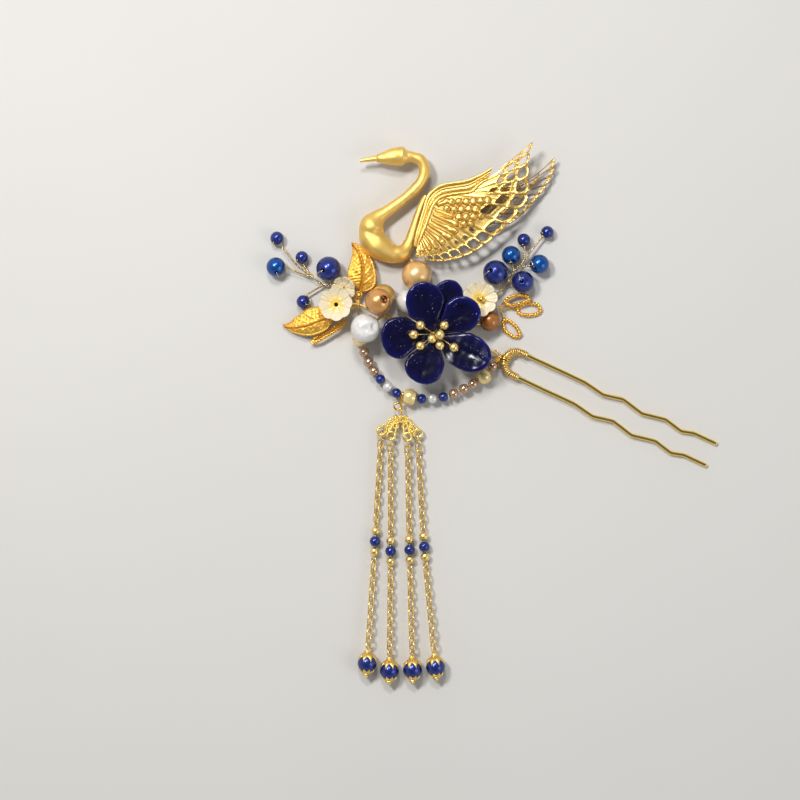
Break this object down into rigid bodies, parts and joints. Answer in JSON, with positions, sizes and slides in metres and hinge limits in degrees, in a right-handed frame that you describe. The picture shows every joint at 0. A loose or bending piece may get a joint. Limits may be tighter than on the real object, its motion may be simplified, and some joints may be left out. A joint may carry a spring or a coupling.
{
  "type": "hairpin",
  "caption": "Jewelled two-prong hairpin: swan, lapis and shell flowers, pearls, leaves, beaded sprays, a bead swag and a chain tassel with round drops.",
  "frame": {"origin": "under the middle of the object's box, on the surface that it lies on", "axes": "+X to the side that the pin's prongs point to, +Y to the swan's head, +Z out of the face that is seen when the pin is worn"},
  "size_m": [0.1502, 0.1802, 0.0167],
  "materials": {
    "polished_gold": "polished gold plating",
    "satin_gold": "satin gold plating",
    "lapis": "polished lapis",
    "shell": "polished mother of pearl",
    "white_pearl": "pearl coat",
    "peach_pearl": "pearl coat",
    "bronze_pearl": "pearl coat",
    "copper_pearl": "pearl coat",
    "cream_pearl": "pearl coat",
    "navy_pearl": "pearl coat",
    "teal_pearl": "pearl coat"
  },
  "bodies": {
    "root": {"pin": "polished_gold", "pin_wrap": "satin_gold", "pin_joint": "polished_gold", "wire_frame": "satin_gold", "swan": "satin_gold", "wing_front": "polished_gold", "wing_back": "polished_gold", "leaf_upper": "polished_gold", "leaf_lower": "polished_gold", "petal_1": "lapis", "petal_2": "lapis", "petal_3": "lapis", "petal_4": "lapis", "petal_5": "lapis", "petal_6": "lapis", "stamen_wires": "polished_gold", "stamen_beads": "polished_gold", "pearl_white": "white_pearl", "pearl_gold_top": "peach_pearl", "pearl_bronze": "bronze_pearl", "pearl_gold_back": "peach_pearl", "pearl_white_small": "white_pearl", "pearl_brown": "bronze_pearl", "shell_flower_left": "shell", "shell_flower_back": "shell", "shell_flower_right": "shell", "spray_left_stems": "polished_gold", "spray_right_stems": "polished_gold", "spray_navy_beads": "navy_pearl", "spray_teal_beads": "teal_pearl", "twist_loops_right": "polished_gold", "twist_loops_left": "polished_gold", "swag_wire": "polished_gold", "swag_copper_beads": "copper_pearl", "swag_blue_beads": "navy_pearl", "swag_white_beads": "white_pearl", "swag_cream_beads": "cream_pearl", "tassel_hook": "polished_gold", "tassel_cap": "polished_gold", "chain_1": "polished_gold", "chain_2": "polished_gold", "chain_3": "polished_gold", "chain_4": "polished_gold", "gold_beads_1": "polished_gold", "gold_beads_2": "polished_gold", "gold_beads_3": "polished_gold", "gold_beads_4": "polished_gold", "blue_bead_1": "navy_pearl", "blue_bead_2": "navy_pearl", "blue_bead_3": "navy_pearl", "blue_bead_4": "navy_pearl", "drop_bead_1": "navy_pearl", "drop_bead_2": "navy_pearl", "drop_bead_3": "navy_pearl", "drop_bead_4": "navy_pearl", "drop_caps_1": "polished_gold", "drop_caps_2": "polished_gold", "drop_caps_3": "polished_gold", "drop_caps_4": "polished_gold"}
  },
  "joints": []
}
